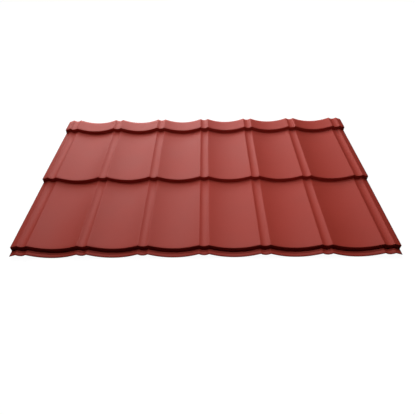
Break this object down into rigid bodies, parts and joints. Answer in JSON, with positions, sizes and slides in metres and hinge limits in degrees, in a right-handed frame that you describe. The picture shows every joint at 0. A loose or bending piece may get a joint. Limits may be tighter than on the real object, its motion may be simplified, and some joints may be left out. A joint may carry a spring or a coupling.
{
  "type": "roof panel",
  "caption": "Pressed steel roof panel, coated on its upper face, with wide shallow waves up the slope and low steps across it.",
  "frame": {"origin": "under the middle of the sheet, on the plane that its wave troughs rest on", "axes": "+X across the roof, +Y up the slope, +Z away from the roof, out of the coated face"},
  "size_m": [1.226, 0.801, 0.0299],
  "materials": {
    "coated_steel": "satin brick-red coat on the upper face, pale primer on the underside"
  },
  "bodies": {
    "root": {"roof_panel": "coated_steel"}
  },
  "joints": []
}
